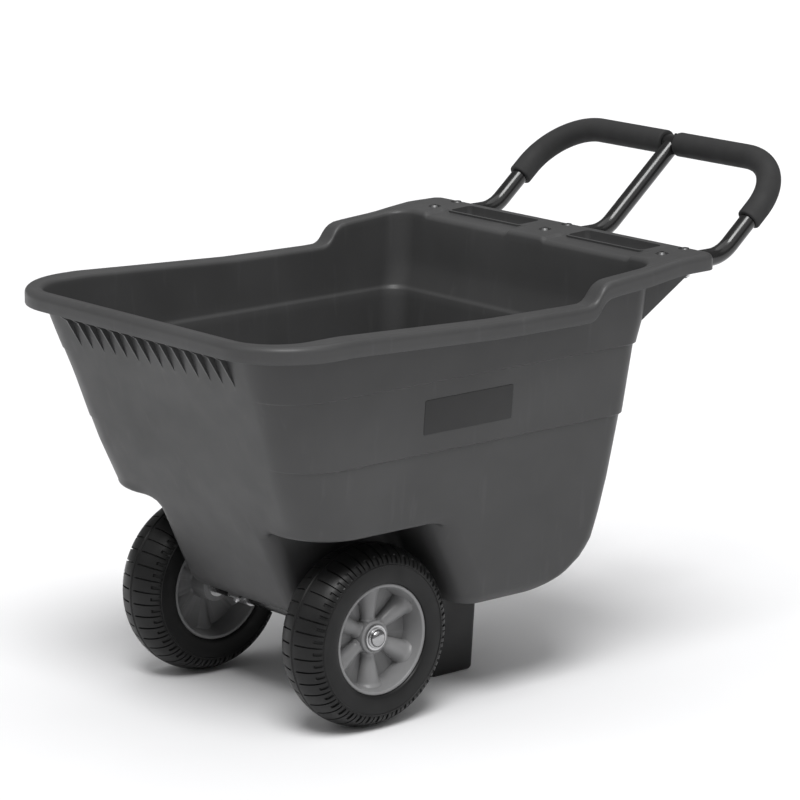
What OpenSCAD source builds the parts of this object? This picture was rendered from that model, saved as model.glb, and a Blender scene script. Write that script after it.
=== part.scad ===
// Two-wheeled garden cart: one-piece tub on an axle, a rear foot and a bolted tube handle.
// Millimetres, +Z up, +X across the cart, the nose of the tub at -Y and the handle at +Y.
// The origin is on the ground below the middle of the cart's outline.

/* [Overall] */
// Length from the front edge of the tub to the back of the hand grips
cart_len = 1004; // [980:1:1040]
// Width over the rim at its front
rim_w = 610; // [600:1:640]
// Outer diameter of the wheels
wheel_d = 250; // [244:1:252]

/* [Tub] */
// Wall thickness of the moulding
wall = 4; // [3:0.5:5]
// Height of the turned-down edge of the rim
skirt_h = 23; // [18:1:26]
// Height of the outside of the floor above the ground
floor_z = 142; // [140:1:146]
// Half width of the narrow part of the tub between the wheels
keel_half = 122; // [110:1:124]
// Height of the lip over the wheels
arch_z = 277; // [272:1:284]
// Rounding where the walls meet the floor
floor_r = 22; // [14:1:26]
// Radius of the rim's front corners
rim_front_r = 108; // [90:1:140]
// Radius of the walls' front corners
wall_front_r = 68; // [60:1:96]
// Radius of the walls' rear corners
wall_rear_r = 34; // [30:1:50]

/* [Ribs] */
// Number of stiffening ribs under the front rim
rib_count = 14; // [8:1:16]
// Distance between two ribs
rib_pitch = 25.5; // [20:0.5:27]
// Thickness of a rib
rib_t = 2.5; // [2:0.5:4]

/* [Handle] */
// Outer diameter of the steel tubes
tube_d = 25; // [22:1:25]
// Wall thickness of the steel tubes
tube_t = 1.5; // [1:0.25:2.5]
// Distance between the two outer tubes, centre to centre
leg_span = 474; // [464:1:480]
// Angle at which the handle rises
rise_angle = 39.5; // [36:0.5:42]
// Centreline radius of the bend behind the tub
low_bend_r = 60; // [50:1:64]
// Centreline radius of the top corners
top_bend_r = 87; // [70:1:95]
// Outer diameter of the hand grips
grip_d = 35; // [32:1:38]
// Width of the gap between the two grips
grip_gap = 26; // [26:1:40]

/* [Wheels] */
// Width of a tyre
tyre_w = 82; // [76:1:84]
// Distance between the middles of the tyres
track = 350; // [348:1:356]
// Radius of the seat between tyre and rim
seat_r = 76; // [72:1:80]
// Diameter of the steel axle
axle_d = 12; // [10:1:14]
// Number of spokes
spoke_count = 6; // [5:1:8]
// Radial clearance of the bush on the axle
axle_clearance = 0.05; // [0.02:0.01:0.09]

/* [Foot] */
// Width of the foot at the ground
foot_w = 156; // [140:1:170]
// Length of the foot at the ground
foot_len = 76; // [60:1:90]

/* [Hidden] */
$fn = 96;

plastic = [0.27, 0.27, 0.28];
black_plastic = [0.09, 0.09, 0.1];
black_steel = [0.05, 0.05, 0.06];
zinc = [0.75, 0.76, 0.78];
rubber = [0.07, 0.07, 0.07];
rim_grey = [0.42, 0.42, 0.43];
foam = [0.16, 0.16, 0.17];

front_y = -cart_len / 2;
axle_y = front_y + 254;
axle_z = wheel_d / 2;

// ---- Tub: heights and distances behind the front edge, all in millimetres ----
// Height of the rim's top along the cart, with the step up to the rear flange.
rim_path = [[0, 562], [132, 563], [216, 559], [388, 551], [549, 549], [562, 554],
    [575, 572], [588, 578], [660, 583], [700, 588], [729, 591], [791, 591]];
// Distance of the front wall behind the front edge, by height.
front_path = [[142, 191], [194, 165], [285, 123], [347, 97], [440, 66], [508, 39], [600, 5]];
// Distance of the rear wall behind the front edge, by height, with its two steps.
rear_path = [[142, 535], [149, 560], [160, 587], [180, 617], [202, 634], [240, 645], [286, 655],
    [378, 667], [381, 670], [476, 681], [479, 684], [509, 693], [600, 701]];
// Half width of the walls by height, with their two steps.
side_path = [[142, 223], [277, 236], [378, 248.5], [381, 251], [476, 260], [479, 262.5], [600, 272]];
// Distance of the wall behind the wheel from the front edge, by height.
well_path = [[150, 392], [175, 384], [200, 374], [225, 362], [250, 348], [277, 335]];
// Half width of the rim along the cart.
rim_side_path = [[0, rim_w / 2], [549, rim_w / 2 - 9], [791, rim_w / 2 - 14]];

rim_back = 791;
rim_back_r = 18;
keel_r = 24;
well_r = 22;
nose_r = 45;
arch_rise = 12;
step_start = 549;
step_end = 588;
rim_edge_r = 5;

function at(table, key) = lookup(key, table);

// A row of n points from p to q, without p itself.
function row(p, q, n) = [for (i = [1 : n]) p + (q - p) * i / n];

// A row of n points on an arc, without its first point.
function bend(c, r, a0, a1, n) =
    [for (i = [1 : n]) let (a = a0 + (a1 - a0) * i / n) c + r * [cos(a), sin(a)]];

// Half of a level outline of the walls above the wheels, from the front middle to the back middle.
function full_half(z, off) = let (
    f = at(front_path, z) + off,
    b = at(rear_path, z) - off,
    s = at(side_path, z) - off,
    rf = wall_front_r - off,
    rb = max(wall_rear_r - off, 6),
    kx = keel_half - keel_r,
    m = at(well_path, z) + nose_r) concat(
    [[0, f]],
    row([0, f], [kx, f], 4),
    row([kx, f], [s - rf, f], 4),
    bend([s - rf, f + rf], rf, -90, 0, 7),
    row([s, f + rf], [s, m], 4),
    row([s, m], [s, step_start], 3),
    row([s, step_start], [s, step_end], 3),
    row([s, step_end], [s, b - rb], 2),
    bend([s - rb, b - rb], rb, 0, 90, 5),
    row([s - rb, b], [0, b], 6));

// Half of a level outline below the wheel arches, where the front is the narrow keel.
function keel_half_line(z, off) = let (
    f = at(front_path, z) + off,
    b = at(rear_path, z) - off,
    s = at(side_path, z) - off,
    k = keel_half - off,
    w = at(well_path, z) + off,
    rb = max(wall_rear_r - off, 6),
    rk = max(keel_r - off, 3),
    ri = well_r + off,
    rn = max(nose_r - off, 3),
    d0 = min(step_start, b - rb - 24),
    d1 = min(step_end, b - rb - 12)) concat(
    [[0, f]],
    row([0, f], [k - rk, f], 4),
    bend([k - rk, f + rk], rk, -90, 0, 4),
    row([k, f + rk], [k, w - ri], 3),
    bend([k + ri, w - ri], ri, 180, 90, 4),
    row([k + ri, w], [s - rn, w], 2),
    bend([s - rn, w + rn], rn, -90, 0, 2),
    row([s, w + rn], [s, d0], 3),
    row([s, d0], [s, d1], 3),
    row([s, d1], [s, b - rb], 2),
    bend([s - rb, b - rb], rb, 0, 90, 5),
    row([s - rb, b], [0, b], 6));

// Half of the rim's outer edge, pulled in by off.
function rim_half(off) = let (
    s0 = at(rim_side_path, rim_front_r) - off,
    rf = rim_front_r - off,
    m = at(well_path, arch_z) + nose_r,
    kx = keel_half - keel_r,
    rb = max(rim_back_r - off, 2),
    s3 = at(rim_side_path, rim_back) - off,
    side = [for (d = [m, step_start, step_end]) [at(rim_side_path, d) - off, d]]) concat(
    [[0, off]],
    row([0, off], [kx, off], 4),
    row([kx, off], [s0 - rf, off], 4),
    bend([s0 - rf, rim_front_r], rf, -90, 0, 7),
    row([s0, rim_front_r], side[0], 4),
    row(side[0], side[1], 3),
    row(side[1], side[2], 3),
    row(side[2], [s3, rim_back - rim_back_r], 2),
    bend([s3 - rb, rim_back - off - rb], rb, 0, 90, 5),
    row([s3 - rb, rim_back - off], [0, rim_back - off], 6));

// A closed loop in space from half an outline and the heights of its points.
function loop(half, heights) = let (n = len(half)) concat(
    [for (i = [0 : n - 1]) [half[i][0], front_y + half[i][1], heights[i]]],
    [for (i = [n - 2 : -1 : 1]) [-half[i][0], front_y + half[i][1], heights[i]]]);

// How far each point of a half outline is along the wheel arch: 0 outside it, 1 at its middle.
arch_first = 4;
arch_last = 20;
function arch_share(i) =
    i <= arch_first || i >= arch_last ? 0 : sin(180 * (i - arch_first) / (arch_last - arch_first));

function level(z, n) = [for (i = [0 : n - 1]) z];
// An outline at the lip of the wheel arches, pulled in by lip where the lip is.
function lip_half(z, off, lip) =
    [for (i = [0 : half_n - 1]) full_half(z, off + lip * pow(arch_share(i), 0.4))[i]];
function arch_level(z, n) = [for (i = [0 : n - 1]) z + arch_rise * pow(arch_share(i), 0.5)];
function rim_level(half, drop) = [for (p = half) at(rim_path, p[1]) - drop];

function floor_inset(z, r) = z >= floor_z + r ? 0 : r - sqrt(r * r - pow(floor_z + r - z, 2));

half_n = len(full_half(400, 0));
keel_heights = [0, 0.08, 0.25, 0.55, 1];
wall_heights = [330, 378, 381, 430, 476, 479, 515];

// The wall's skin, from the floor up to the rim. It is drawn off millimetres inside the outer face.
function floor_rings(off) = [for (share = keel_heights)
    let (z = floor_z + floor_r * share)
    loop(keel_half_line(z, off + floor_inset(z, floor_r)), level(z + off, half_n))];
function keel_rings(off) = [for (z = [180, 202, 240, 262])
    loop(keel_half_line(z, off), level(z + off * 0.6, half_n))];
function arch_rings(off) = [
    loop(keel_half_line(arch_z - 5, off), arch_level(arch_z - 5 + off * 0.6, half_n)),
    loop(lip_half(arch_z, off, 7), level(arch_z + off, half_n)),
    loop(lip_half(arch_z + 3, off, 2), level(arch_z + 3 + off, half_n)),
    loop(full_half(arch_z + 10, off), level(arch_z + 10 + off * 0.6, half_n))];
function wall_rings(off) = [for (z = wall_heights) loop(full_half(z, off), level(z, half_n))];
function top_ring(off, drop) = let (flat = full_half(560, off), tops = rim_level(flat, drop))
    [loop([for (i = [0 : half_n - 1]) full_half(tops[i], off)[i]], tops)];

function skin(off, drop) =
    concat(floor_rings(off), keel_rings(off), arch_rings(off), wall_rings(off), top_ring(off, drop));

function rim_ring(off, drop) = let (half = rim_half(off)) [loop(half, rim_level(half, drop))];
rim_rings = concat(
    rim_ring(wall, wall),
    rim_ring(wall, skirt_h),
    rim_ring(0, skirt_h),
    rim_ring(0, rim_edge_r),
    rim_ring(rim_edge_r * 0.3, rim_edge_r * 0.3),
    rim_ring(rim_edge_r, 0));

function reversed(list) = [for (i = [len(list) - 1 : -1 : 0]) list[i]];
tub_rings = concat(
    skin(0, wall),
    rim_rings,
    top_ring(wall - 3, 0),
    reversed(skin(wall, rim_edge_r * 0.6)));

// A closed solid from a stack of loops, with a middle point on its first and on its last loop.
module stack(rings, middle_y) {
    n = len(rings[0]);
    last = len(rings) - 1;
    points = concat(
        [for (ring = rings) for (p = ring) p],
        [[0, middle_y, rings[0][0][2]], [0, middle_y, rings[last][0][2]]]);
    start = len(rings) * n;
    faces = concat(
        [for (k = [0 : last - 1], i = [0 : n - 1]) let (j = (i + 1) % n)
            [k * n + i, k * n + n + i, k * n + n + j]],
        [for (k = [0 : last - 1], i = [0 : n - 1]) let (j = (i + 1) % n)
            [k * n + i, k * n + n + j, k * n + j]],
        [for (i = [0 : n - 1]) [start, i, (i + 1) % n]],
        [for (i = [0 : n - 1]) [start + 1, last * n + (i + 1) % n, last * n + i]]);
    polyhedron(points, faces);
}

// ---- Rear flange and handle: places in the cart's frame ----
flange_top = 591;
flange_under = flange_top - wall;
recess_depth = 3;
recess_r = 9.5;
boss_r = 14;
boss_under = 584.6;
tube_r = tube_d / 2;
tube_in_r = tube_r - tube_t;
plug_r = tube_in_r - 0.1;
tube_z = boss_under - 0.1 - tube_r;
tube_start_y = front_y + 714;
rise_y = front_y + 850;
leg_x = leg_span / 2;
low_tangent = low_bend_r * tan(rise_angle / 2);
grip_r = grip_d / 2;
bar_v = (cart_len / 2 - grip_r - rise_y) / cos(rise_angle);
grip_start_v = 68;
low_steps = 6;
corner_steps = 14;
tube_sides = 28;
bolt_rows = [front_y + 736, front_y + 780];
bolt_columns = [-leg_x, 0, leg_x];
bolt_r = 4;
bolt_hole_r = 4.25;
bolt_head_z = flange_top - recess_depth;
tube_under = tube_z - tube_r;
washer_t = 1.5;
nut_h = 6.5;
slit = 1;

// ---- Pockets in the rear flange ----
pocket_x = [50, 200];
pocket_d = [734, 772];
pocket_deep = 16;
pocket_wall = 3.5;

// ---- Gussets under the rear flange ----
gusset_x = [-252, -222, -15, 15, 222, 252];
gusset_t = 3.5;
gusset_low = 505;
gusset_back = 785;
gusset_back_z = 567;

// ---- Foot and axle fastenings ----
foot_d = 497;
foot_top_w = 172;
foot_top_len = 88;
foot_corner_r = 8;
foot_wall = 5;
foot_post_r = 7;
foot_screw_x = 58;
foot_screw_rows = [471, 499];
screw_r = 2.5;
screw_hole_r = 3;
pan_r = 6;
pan_h = 3.5;
floor_top = floor_z + wall;
strap_x = 75;
strap_w = 24;
strap_t = 2.5;
strap_bolt_y = 18;
saddle_z = axle_z + 3;
axle_r = axle_d / 2;
spacer_r = 10;
spacer_gap = 0.05;

// ---- Wheels: distances from the middle of the cart along X ----
hub_in = track / 2 - 33;
hub_out = track / 2 + 23;
side_play = 0.4;
hub_washer_t = 2;
hub_r = 22.5;
bush_r = 9;
cap_r = 14;
cap_h = 8.5;
axle_end = hub_out + side_play + hub_washer_t + 5.6;
rim_in_r = 71;
rim_waist_r = 66;
rim_half_w = 37;
// The web closes the wheel between its spokes; the spokes stand a little outward of it.
web_t = 4;
spoke_out = 6;

// A round bar along X from x0 to x1 through the axle's line.
module on_axle(x0, x1, r) {
    translate([x0, axle_y, axle_z]) rotate([0, 90, 0]) cylinder(h = x1 - x0, r = r);
}

// Spins an outline of [radius, distance along X] around the axle on one side of the cart.
module spun(side, outline) {
    translate([0, axle_y, axle_z]) rotate([0, side * 90, 0]) rotate_extrude() polygon(outline);
}

// A straight round bar along Y, with a round bore where bore_r isn't 0.
module bar_along_y(x, y0, y1, z, r, bore_r = 0) {
    translate([x, y0, z]) rotate([-90, 0, 0]) difference() {
        cylinder(h = y1 - y0, r = r);
        if (bore_r > 0) translate([0, 0, -slit]) cylinder(h = y1 - y0 + 2 * slit, r = bore_r);
    }
}

// A ring with its middle at distance reach, turned through an angle about Z.
module turned_ring(reach, angle, r, bore_r) {
    rotate_extrude(angle = angle) translate([reach, 0]) difference() {
        circle(r = r);
        circle(r = bore_r);
    }
}

// Places children in the sloping plane of the handle, with +Y pointing up the slope.
module on_slope() {
    translate([0, rise_y, tube_z]) rotate([rise_angle, 0, 0]) children();
}

// A quarter turn at a top corner of the handle.
module top_corner(side, r, bore_r) {
    translate([side * (leg_x - top_bend_r), bar_v - top_bend_r, 0])
        rotate([0, 0, side > 0 ? 0 : 90]) turned_ring(top_bend_r, 90, r, bore_r);
}

// The straight top bar between two places along X.
module top_bar(x0, x1, r, bore_r) {
    translate([x0, bar_v, 0]) rotate([0, 90, 0]) difference() {
        cylinder(h = x1 - x0, r = r);
        translate([0, 0, -slit]) cylinder(h = x1 - x0 + 2 * slit, r = bore_r);
    }
}

// The route of a bent tube is a row of stations: [middle, direction, the side that stays upward].
// A station on the lower part of a tube at x, where it has risen by angle a, going up or down.
function low_station(x, a, y, z, way) = [[x, y, z], way * [0, cos(a), sin(a)], [0, -sin(a), cos(a)]];

// A station in the sloping plane, at x and v along it, heading at angle h away from straight up.
function slope_station(x, v, h) = let (c = cos(rise_angle), n = sin(rise_angle))
    [[x, rise_y + v * c, tube_z + v * n], [sin(h), cos(h) * c, cos(h) * n], [0, -n, c]];

// The part of a tube from under the flange to the end of the bend behind the tub.
function low_route(x, way) = concat(
    [low_station(x, 0, tube_start_y, tube_z, way)],
    [for (i = [0 : low_steps]) let (a = rise_angle * i / low_steps)
        low_station(x, a, rise_y - low_tangent + low_bend_r * sin(a),
            tube_z + low_bend_r * (1 - cos(a)), way)]);

// The top corner of one side, entered at its leg.
function corner_route(side) = [for (i = [0 : corner_steps]) let (a = 90 * i / corner_steps)
    slope_station(side * (leg_x - top_bend_r * (1 - cos(a))),
        bar_v - top_bend_r * (1 - sin(a)), side < 0 ? a : 180 - a)];

handle_route = concat(low_route(-leg_x, 1), corner_route(-1), reversed(corner_route(1)),
    reversed(low_route(leg_x, -1)));
centre_route = concat(low_route(0, 1), [slope_station(0, bar_v - 2, 0)]);

function tube_ring(s, r) = [for (i = [0 : tube_sides - 1]) let (a = 360 * i / tube_sides)
    s[0] + r * (cos(a) * s[2] + sin(a) * cross(s[1], s[2]))];

// A hollow tube along a route.
module pipe(route) {
    rings = concat([for (s = route) tube_ring(s, tube_r)],
        [for (s = reversed(route)) tube_ring(s, tube_in_r)]);
    count = len(rings);
    n = tube_sides;
    points = [for (ring = rings) for (p = ring) p];
    faces = [for (k = [0 : count - 1], i = [0 : n - 1], half = [0, 1])
        let (next = (k + 1) % count, j = (i + 1) % n)
        half == 0 ? [k * n + i, next * n + j, next * n + i] : [k * n + i, k * n + j, next * n + j]];
    polyhedron(points, faces);
}

module at_bolts() {
    for (x = bolt_columns, y = bolt_rows) translate([x, y, 0]) children();
}

module at_foot_screws() {
    for (x = [-foot_screw_x, foot_screw_x], d = foot_screw_rows) translate([x, front_y + d, 0]) children();
}

module at_strap_bolts() {
    for (x = [-strap_x, strap_x], y = [-strap_bolt_y, strap_bolt_y])
        translate([x, axle_y + y, 0]) children();
}

// A pan-headed screw pointing down, its head standing on height z.
module pan_screw(z, shank_r, length) {
    translate([0, 0, z - length]) cylinder(h = length, r = shank_r);
    translate([0, 0, z]) rotate_extrude() polygon([[0, 0], [pan_r, 0], [pan_r, pan_h * 0.5],
        [pan_r * 0.7, pan_h * 0.9], [pan_r * 0.4, pan_h], [0, pan_h]]);
}

// A hexagon nut hanging under height z.
module nut(z, bore_r, h, across_r) {
    translate([0, 0, z - h]) difference() {
        cylinder(h = h, r = across_r, $fn = 6);
        translate([0, 0, -slit]) cylinder(h = h + 2 * slit, r = bore_r);
    }
}

// ---- Tub ----
module rib(x) {
    low = 482;
    high = flange_under - 30;
    edge = wall - 1;
    translate([x + rib_t / 2, 0, 0]) rotate([90, 0, -90]) linear_extrude(rib_t)
        polygon([for (p = [[at(front_path, low) + 2, low], [21, 530], [edge, 542], [edge, high],
            [at(front_path, high) + 2, high]]) [-front_y - p[0], p[1]]]);
}

module gusset(x) {
    reach = abs(x) > leg_x ? 16.8 : 2;
    translate([x - gusset_t / 2, 0, 0]) rotate([90, 0, 90]) linear_extrude(gusset_t)
        polygon([for (p = [[at(rear_path, gusset_low) - reach, gusset_low],
            [gusset_back, gusset_back_z], [gusset_back, flange_under + 1],
            [at(rear_path, flange_under) - reach, flange_under + 1]]) [front_y + p[0], p[1]]]);
}

// The space of a pocket, grown on all sides but the top.
module pocket(side, grow, top) {
    x0 = side > 0 ? pocket_x[0] : -pocket_x[1];
    translate([x0 - grow, front_y + pocket_d[0] - grow, flange_top - pocket_deep - grow])
        cube([pocket_x[1] - pocket_x[0] + 2 * grow, pocket_d[1] - pocket_d[0] + 2 * grow,
            pocket_deep + grow + top]);
}

module saddle(x) {
    translate([x - strap_w / 2, axle_y - strap_bolt_y - 6, saddle_z])
        cube([strap_w, 2 * strap_bolt_y + 12, floor_z + 1 - saddle_z]);
}

module tub() {
    color(plastic) difference() {
        union() {
            stack(tub_rings, front_y + 430);
            for (i = [0 : rib_count - 1]) rib((i - (rib_count - 1) / 2) * rib_pitch);
            for (x = gusset_x) gusset(x);
            for (side = [-1, 1]) pocket(side, pocket_wall, -2);
            at_bolts() translate([0, 0, boss_under])
                cylinder(h = flange_under + 1 - boss_under, r = boss_r);
            for (x = [-strap_x, strap_x]) saddle(x);
        }
        for (side = [-1, 1]) pocket(side, 0, slit);
        at_bolts() translate([0, 0, bolt_head_z]) cylinder(h = recess_depth + slit, r = recess_r);
        at_bolts() translate([0, 0, boss_under - slit]) cylinder(h = 20, r = bolt_hole_r);
        for (x = bolt_columns)
            bar_along_y(x, front_y + 780, front_y + 800, tube_z, tube_r + 0.5);
        on_axle(-strap_x - strap_w, strap_x + strap_w, spacer_r + spacer_gap);
        at_foot_screws() translate([0, 0, floor_z - slit])
            cylinder(h = wall + 2 * slit, r = screw_hole_r);
        at_strap_bolts() translate([0, 0, saddle_z - slit])
            cylinder(h = floor_top + 2 * slit - saddle_z, r = screw_hole_r);
    }
}

// A blank plate stuck to the right-hand wall, between the two steps.
module side_label() {
    label = [0.4, 155, 48];
    low = 405;
    tilt = atan((at(side_path, 470) - at(side_path, 390)) / 80);
    color(black_plastic) translate([at(side_path, low) + 0.05, front_y + 290, low])
        rotate([0, tilt, 0]) cube(label);
}

// ---- Foot ----
module foot_form(shrink, top_z) {
    r = foot_corner_r - shrink * 0.5;
    low = [foot_w / 2 - shrink, foot_len / 2 - shrink];
    high = [foot_top_w / 2 - shrink, foot_top_len / 2 - shrink];
    translate([0, front_y + foot_d, 0]) hull() {
        for (sx = [-1, 1], sy = [-1, 1]) {
            translate([sx * (low[0] - r), sy * (low[1] - r), r + shrink])
                sphere(r = r, $fn = 32);
            translate([sx * (high[0] - r), sy * (high[1] - r), top_z - 1])
                cylinder(h = 1, r = r, $fn = 32);
        }
    }
}

module rear_foot() {
    top = floor_z - 0.1;
    color(black_plastic) difference() {
        union() {
            difference() {
                foot_form(0, top);
                foot_form(foot_wall, top + slit);
            }
            at_foot_screws() translate([0, 0, foot_wall - 1])
                cylinder(h = top - foot_wall + 1, r = foot_post_r);
        }
        at_foot_screws() translate([0, 0, top - 40]) cylinder(h = 40 + slit, r = screw_r);
    }
}

module foot_screws() {
    color(zinc) at_foot_screws() pan_screw(floor_top, screw_r, 30);
}

// ---- Handle ----
module handle_frame() {
    color(black_steel) difference() {
        pipe(handle_route);
        at_bolts() translate([0, 0, tube_under - slit])
            cylinder(h = tube_d + 2 * slit, r = bolt_hole_r);
        on_slope() bar_along_y(0, bar_v - tube_d, bar_v + tube_d, 0, screw_hole_r);
    }
}

module centre_tube() {
    color(black_steel) difference() {
        pipe(centre_route);
        on_slope() translate([-tube_d, bar_v, 0]) rotate([0, 90, 0])
            cylinder(h = 2 * tube_d, r = tube_r + 0.1);
        at_bolts() translate([0, 0, tube_under - slit])
            cylinder(h = tube_d + 2 * slit, r = bolt_hole_r);
    }
}

// A threaded slug in the top end of the centre tube, which the centre bolt screws into.
module centre_insert() {
    color(zinc) on_slope() difference() {
        bar_along_y(0, bar_v - tube_r - 24, bar_v - tube_r - 4, 0, plug_r);
        bar_along_y(0, bar_v - tube_r - 25, bar_v - tube_r - 3, 0, screw_r);
    }
}

module centre_bolt() {
    head = bar_v + tube_r;
    color(zinc) on_slope() {
        bar_along_y(0, bar_v - tube_r - 22, head, 0, screw_r);
        translate([0, head, 0]) rotate([-90, 0, 0]) cylinder(h = 1.2, r = 7);
        translate([0, head + 1.2, 0]) rotate([-90, 0, 0]) cylinder(h = 2.8, r1 = 5.5, r2 = 4);
    }
}

module grip(side) {
    ends = side > 0 ? [grip_gap / 2, leg_x - top_bend_r] : [top_bend_r - leg_x, -grip_gap / 2];
    color(foam) on_slope() {
        bar_along_y(side * leg_x, grip_start_v, bar_v - top_bend_r, 0, grip_r, tube_r);
        top_corner(side, grip_r, tube_r);
        top_bar(ends[0], ends[1], grip_r, tube_r);
    }
}
module grip_left() { grip(-1); }
module grip_right() { grip(1); }

module handle_bolts() {
    color(zinc) at_bolts() {
        translate([0, 0, tube_under - washer_t - nut_h - 2])
            cylinder(h = bolt_head_z - tube_under + washer_t + nut_h + 2, r = bolt_r);
        translate([0, 0, bolt_head_z]) difference() {
            cylinder(h = 3.6, r1 = 7.5, r2 = 5.5);
            translate([0, 0, 1.6]) cylinder(h = 3, r = 2.9, $fn = 6);
        }
    }
}

module handle_washers() {
    color(zinc) at_bolts() translate([0, 0, tube_under - washer_t]) difference() {
        cylinder(h = washer_t, r = 9);
        translate([0, 0, -slit]) cylinder(h = washer_t + 2 * slit, r = bolt_hole_r);
    }
}

module handle_nuts() {
    color(zinc) at_bolts() nut(tube_under - washer_t, bolt_r, nut_h, 7.5);
}

module tube_plugs() {
    color(black_plastic) for (x = bolt_columns) {
        bar_along_y(x, tube_start_y, tube_start_y + 12, tube_z, plug_r);
        bar_along_y(x, tube_start_y - 2, tube_start_y, tube_z, tube_r);
    }
}

// ---- Axle ----
module axle() {
    color(zinc) on_axle(-axle_end, axle_end, axle_r);
}

module axle_tube() {
    reach = hub_in - side_play - hub_washer_t;
    color(black_steel) difference() {
        on_axle(-reach, reach, spacer_r);
        on_axle(-reach - slit, reach + slit, axle_r + 0.5);
    }
}

// Two straps that hold the axle tube up against the saddles under the floor.
module axle_straps() {
    outer = spacer_r + spacer_gap + strap_t;
    wing = strap_bolt_y + 6;
    color(zinc) for (x = [-strap_x, strap_x]) translate([x, axle_y, axle_z]) difference() {
        union() {
            translate([-strap_w / 2, 0, 0]) rotate([0, 90, 0]) cylinder(h = strap_w, r = outer);
            translate([-strap_w / 2, -outer, 0]) cube([strap_w, 2 * outer, saddle_z - axle_z]);
            translate([-strap_w / 2, -wing, saddle_z - axle_z - strap_t])
                cube([strap_w, 2 * wing, strap_t]);
        }
        translate([-strap_w, -wing - slit, saddle_z - axle_z])
            cube([2 * strap_w, 2 * wing + 2 * slit, 2 * outer]);
        translate([-strap_w, 0, 0]) rotate([0, 90, 0])
            cylinder(h = 2 * strap_w, r = spacer_r + spacer_gap);
        for (y = [-strap_bolt_y, strap_bolt_y])
            translate([0, y, -outer]) cylinder(h = 2 * outer, r = screw_hole_r);
    }
}

module strap_bolts() {
    color(zinc) at_strap_bolts()
        pan_screw(floor_top, screw_r, floor_top - saddle_z + strap_t + 6.5);
}

module strap_nuts() {
    color(zinc) at_strap_bolts() nut(saddle_z - strap_t, screw_r, 4.5, 4.6);
}

module hub_washers(x, r) {
    color(zinc) for (side = [-1, 1])
        spun(side, [[axle_r, x], [r, x], [r, x + hub_washer_t], [axle_r, x + hub_washer_t]]);
}
module inner_washers() { hub_washers(hub_in - side_play - hub_washer_t, 15); }
module outer_washers() { hub_washers(hub_out + side_play, 17); }

module hub_cap(side) {
    x = hub_out + side_play + hub_washer_t;
    deep = axle_end - x;
    color(zinc) spun(side, concat(
        [[axle_r, x], [cap_r, x], [cap_r, x + 2], [cap_r * 0.86, x + 2.6]],
        [for (a = [0 : 10 : 90]) [cap_r * 0.82 * cos(a), x + 2.6 + (cap_h - 2.6) * sin(a)]],
        [[0, x + deep], [axle_r, x + deep]]));
}
module hub_cap_left() { hub_cap(-1); }
module hub_cap_right() { hub_cap(1); }

// ---- Wheels ----
module hub_bush(side) {
    bore = axle_r + axle_clearance;
    color(black_plastic)
        spun(side, [[bore, hub_in], [bush_r, hub_in], [bush_r, hub_out], [bore, hub_out]]);
}
module hub_bush_left() { hub_bush(-1); }
module hub_bush_right() { hub_bush(1); }

module wheel_rim(side) {
    middle = track / 2;
    color(rim_grey) difference() {
        union() {
            spun(side, [[rim_in_r + 1, middle - rim_half_w], [seat_r, middle - rim_half_w],
                [seat_r, middle + rim_half_w], [rim_in_r + 1, middle + rim_half_w],
                [rim_waist_r, middle + 12], [rim_waist_r, middle - 12]]);
            spun(side, [[0, hub_in], [hub_r - 1, hub_in], [hub_r, hub_in + 2], [hub_r, hub_out - 2],
                [hub_r - 1.5, hub_out], [0, hub_out]]);
            spun(side, [[0, middle - web_t / 2], [rim_waist_r + 1, middle - web_t / 2],
                [rim_waist_r + 1, middle + web_t / 2], [0, middle + web_t / 2]]);
            for (i = [0 : spoke_count - 1])
                translate([side * (middle + spoke_out), axle_y, axle_z])
                    rotate([i * 360 / spoke_count, 0, 0]) translate([0, 0, 14])
                        cylinder(h = seat_r - 4 - 14, r1 = 8, r2 = 17);
        }
        on_axle(side * track / 2 - hub_out, side * track / 2 + hub_out, bush_r);
    }
}
module wheel_rim_left() { wheel_rim(-1); }
module wheel_rim_right() { wheel_rim(1); }

// The tyre's outline is the same on both faces: radius and distance from its middle plane.
tyre_face = [[seat_r, 0.93], [seat_r + 3, 0.98], [seat_r + 10, 1], [seat_r + 20, 0.98],
    [axle_z - 21, 0.93], [axle_z - 13, 0.83], [axle_z - 6, 0.66], [axle_z - 2, 0.42],
    [axle_z - 0.4, 0.2], [axle_z, 0]];
module tyre(side) {
    n = len(tyre_face);
    half_w = tyre_w / 2;
    color(rubber) spun(side, concat(
        [for (p = tyre_face) [p[0], track / 2 + p[1] * half_w]],
        [for (i = [n - 2 : -1 : 0]) [tyre_face[i][0], track / 2 - tyre_face[i][1] * half_w]]));
}
module tyre_left() { tyre(-1); }
module tyre_right() { tyre(1); }

tub();
side_label();
rear_foot();
foot_screws();
handle_frame();
centre_tube();
centre_bolt();
centre_insert();
grip_left();
grip_right();
handle_bolts();
handle_washers();
handle_nuts();
tube_plugs();
axle();
axle_tube();
axle_straps();
strap_bolts();
strap_nuts();
inner_washers();
outer_washers();
hub_cap_left();
hub_cap_right();
hub_bush_left();
hub_bush_right();
wheel_rim_left();
wheel_rim_right();
tyre_left();
tyre_right();
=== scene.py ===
"""Looks of the garden cart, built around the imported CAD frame.

Shapes are worked out in millimetres in the cart's frame and turned into metres when a mesh is made.
d is always the distance behind the tub's front edge.
"""

import math

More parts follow.
